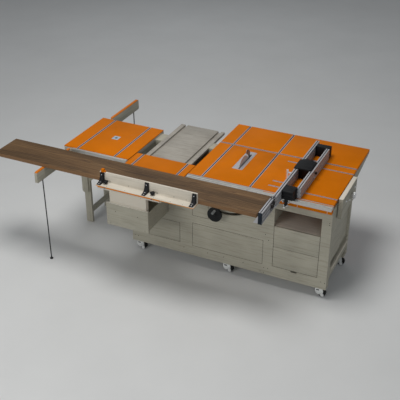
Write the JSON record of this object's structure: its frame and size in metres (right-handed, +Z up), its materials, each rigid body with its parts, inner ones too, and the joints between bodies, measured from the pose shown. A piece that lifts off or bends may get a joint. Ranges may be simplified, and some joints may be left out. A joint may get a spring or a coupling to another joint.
{
  "type": "panel saw",
  "caption": "Sliding table panel saw workbench: tilting blade, rip fence, crosscut carriage, router table, drawers, support arms and casters.",
  "frame": {"origin": "centre of the bounding box in plan, at floor level", "axes": "+X right along the bench as seen from the operator's side, +Y away from the operator, +Z up"},
  "size_m": [3.06, 1.785, 1.067],
  "materials": {
    "cream_ply": "satin painted ply with faint grain",
    "orange_laminate": "satin laminate",
    "aluminium": "anodised, brushed",
    "black_plastic": "satin",
    "black_metal": "satin",
    "grey_steel": "machined",
    "chrome": "polished",
    "walnut": "oiled",
    "caster_grey": "satin",
    "caster_rubber": "matt"
  },
  "bodies": {
    "bench": {"face_frame": "cream_ply", "side_left": "cream_ply", "side_right": "cream_ply", "carcass_inner": "cream_ply", "niche_shelf": "cream_ply", "right_end_frame": "cream_ply", "main_table_top": "orange_laminate", "outfeed_table_top": "orange_laminate", "outfeed_frame": "cream_ply", "front_rail": "aluminium", "front_apron": "orange_laminate", "throat_insert": "aluminium", "platform": "cream_ply", "router_table_top": "orange_laminate", "router_insert": "aluminium", "router_front_rail": "aluminium", "router_subframe": "cream_ply", "left_leg_frame": "cream_ply"},
    "carriage": {"carriage_top": "orange_laminate", "carriage_underframe": "cream_ply", "crosscut_fence": "cream_ply", "fence_bracket_left": "black_plastic", "fence_bracket_middle": "black_plastic", "fence_bracket_right": "black_plastic"},
    "clamp_knob_left": {"clamp_knob_left": "black_plastic"},
    "clamp_knob_right": {"clamp_knob_right": "black_plastic"},
    "fence_stop": {"fence_stop": "orange_laminate"},
    "workpiece_board": {"workpiece_board": "walnut"},
    "rip_fence": {"rip_profile_left": "aluminium", "rip_profile_right": "aluminium", "rip_extension": "aluminium", "rip_block_rear": "black_plastic", "rip_block_middle": "black_plastic", "rip_block_front": "black_plastic"},
    "rip_lever": {"rip_lever": "chrome"},
    "saw_tilt": {"tilt_frame": "grey_steel"},
    "saw_lift": {"saw_motor": "grey_steel"},
    "saw_blade": {"saw_blade": "chrome"},
    "handwheel": {"handwheel": "black_plastic"},
    "router_lift": {"router_motor": "black_metal"},
    "arm_front": {"arm_front": "cream_ply", "rod_leg_front": "black_metal"},
    "arm_rear": {"arm_rear": "cream_ply", "rod_leg_rear": "black_metal"},
    "drawer_left_upper": {"drawer_left_upper": "cream_ply"},
    "drawer_left_lower": {"drawer_left_lower": "cream_ply"},
    "drawer_right_upper": {"drawer_right_upper": "cream_ply"},
    "drawer_right_lower": {"drawer_right_lower": "cream_ply"},
    "end_knob": {"end_knob": "chrome"},
    "caster_fork_front_left": {"caster_fork_front_left": "caster_grey"},
    "caster_fork_front_middle": {"caster_fork_front_middle": "caster_grey"},
    "caster_fork_front_right": {"caster_fork_front_right": "caster_grey"},
    "caster_fork_rear_left": {"caster_fork_rear_left": "caster_grey"},
    "caster_fork_rear_right": {"caster_fork_rear_right": "caster_grey"},
    "caster_wheel_front_left": {"caster_wheel_front_left": "caster_rubber"},
    "caster_wheel_front_middle": {"caster_wheel_front_middle": "caster_rubber"},
    "caster_wheel_front_right": {"caster_wheel_front_right": "caster_rubber"},
    "caster_wheel_rear_left": {"caster_wheel_rear_left": "caster_rubber"},
    "caster_wheel_rear_right": {"caster_wheel_rear_right": "caster_rubber"}
  },
  "joints": [
    {"name": "carriage_slide", "type": "slide", "parent": "bench", "child": "carriage", "axis": [0, 1, 0], "range_m": [0, 0.385]},
    {"name": "clamp_left_turn", "type": "hinge", "parent": "carriage", "child": "clamp_knob_left", "pos_m": [-0.358, -0.8225, 0.965], "axis": [0, 0, 1], "continuous": true},
    {"name": "clamp_right_turn", "type": "hinge", "parent": "carriage", "child": "clamp_knob_right", "pos_m": [0.084, -0.8225, 0.965], "axis": [0, 0, 1], "continuous": true},
    {"name": "fence_stop_slide", "type": "slide", "parent": "carriage", "child": "fence_stop", "axis": [1, 0, 0], "range_m": [0, 0.75]},
    {"name": "board_slide", "type": "slide", "parent": "carriage", "child": "workpiece_board", "axis": [1, 0, 0], "range_m": [-0.4, 0.04]},
    {"name": "rip_fence_slide", "type": "slide", "parent": "bench", "child": "rip_fence", "axis": [1, 0, 0], "range_m": [-0.04, 0.26]},
    {"name": "rip_lever_turn", "type": "hinge", "parent": "rip_fence", "child": "rip_lever", "pos_m": [1.082, -0.4165, 0.89], "axis": [1, 0, 0], "range_deg": [0, 80]},
    {"name": "saw_tilt_turn", "type": "hinge", "parent": "bench", "child": "saw_tilt", "pos_m": [0.525, 0.0365, 0.94], "axis": [0, 1, 0], "range_deg": [-45, 0]},
    {"name": "saw_lift_slide", "type": "slide", "parent": "saw_tilt", "child": "saw_lift", "axis": [0, 0, 1], "range_m": [-0.075, 0.005]},
    {"name": "blade_spin", "type": "hinge", "parent": "saw_lift", "child": "saw_blade", "pos_m": [0.525, 0.0365, 0.883], "axis": [1, 0, 0], "continuous": true},
    {"name": "handwheel_turn", "type": "hinge", "parent": "saw_tilt", "child": "handwheel", "pos_m": [0.452, -0.4075, 0.635], "axis": [0, 1, 0], "range_deg": [-1085, 75]},
    {"name": "router_lift_slide", "type": "slide", "parent": "bench", "child": "router_lift", "axis": [0, 0, 1], "range_m": [-0.05, 0.01]},
    {"name": "arm_front_fold", "type": "hinge", "parent": "bench", "child": "arm_front", "pos_m": [-1.0175, -0.3805, 0.89], "axis": [0, 0, 1], "range_deg": [0, 90]},
    {"name": "arm_rear_fold", "type": "hinge", "parent": "bench", "child": "arm_rear", "pos_m": [-1.0175, 0.3805, 0.89], "axis": [0, 0, 1], "range_deg": [-90, 0]},
    {"name": "drawer_left_upper_slide", "type": "slide", "parent": "bench", "child": "drawer_left_upper", "axis": [0, -1, 0], "range_m": [-0.378, 0.08]},
    {"name": "drawer_left_lower_slide", "type": "slide", "parent": "bench", "child": "drawer_left_lower", "axis": [0, -1, 0], "range_m": [0, 0.4]},
    {"name": "drawer_right_upper_slide", "type": "slide", "parent": "bench", "child": "drawer_right_upper", "axis": [0, -1, 0], "range_m": [0, 0.4]},
    {"name": "drawer_right_lower_slide", "type": "slide", "parent": "bench", "child": "drawer_right_lower", "axis": [0, -1, 0], "range_m": [0, 0.4]},
    {"name": "end_knob_turn", "type": "hinge", "parent": "bench", "child": "end_knob", "pos_m": [1.52, 0.0635, 0.839], "axis": [1, 0, 0], "continuous": true},
    {"name": "caster_swivel_front_left", "type": "hinge", "parent": "bench", "child": "caster_fork_front_left", "pos_m": [-0.358, -0.2835, 0.09], "axis": [0, 0, 1], "continuous": true},
    {"name": "caster_swivel_front_middle", "type": "hinge", "parent": "bench", "child": "caster_fork_front_middle", "pos_m": [0.524, -0.2835, 0.09], "axis": [0, 0, 1], "continuous": true},
    {"name": "caster_swivel_front_right", "type": "hinge", "parent": "bench", "child": "caster_fork_front_right", "pos_m": [1.387, -0.2835, 0.09], "axis": [0, 0, 1], "continuous": true},
    {"name": "caster_swivel_rear_left", "type": "hinge", "parent": "bench", "child": "caster_fork_rear_left", "pos_m": [-0.358, 0.2215, 0.09], "axis": [0, 0, 1], "continuous": true},
    {"name": "caster_swivel_rear_right", "type": "hinge", "parent": "bench", "child": "caster_fork_rear_right", "pos_m": [1.398, 0.2465, 0.09], "axis": [0, 0, 1], "continuous": true},
    {"name": "caster_roll_front_left", "type": "hinge", "parent": "caster_fork_front_left", "child": "caster_wheel_front_left", "pos_m": [-0.332, -0.2835, 0.0375], "axis": [0, 1, 0], "continuous": true},
    {"name": "caster_roll_front_middle", "type": "hinge", "parent": "caster_fork_front_middle", "child": "caster_wheel_front_middle", "pos_m": [0.55, -0.2835, 0.0375], "axis": [0, 1, 0], "continuous": true},
    {"name": "caster_roll_front_right", "type": "hinge", "parent": "caster_fork_front_right", "child": "caster_wheel_front_right", "pos_m": [1.413, -0.2835, 0.0375], "axis": [0, 1, 0], "continuous": true},
    {"name": "caster_roll_rear_left", "type": "hinge", "parent": "caster_fork_rear_left", "child": "caster_wheel_rear_left", "pos_m": [-0.332, 0.2215, 0.0375], "axis": [0, 1, 0], "continuous": true},
    {"name": "caster_roll_rear_right", "type": "hinge", "parent": "caster_fork_rear_right", "child": "caster_wheel_rear_right", "pos_m": [1.424, 0.2465, 0.0375], "axis": [0, 1, 0], "continuous": true}
  ],
  "couplings": [
    {"joint": "handwheel_turn", "follows": "saw_lift_slide", "rad_per_m": 251}
  ]
}
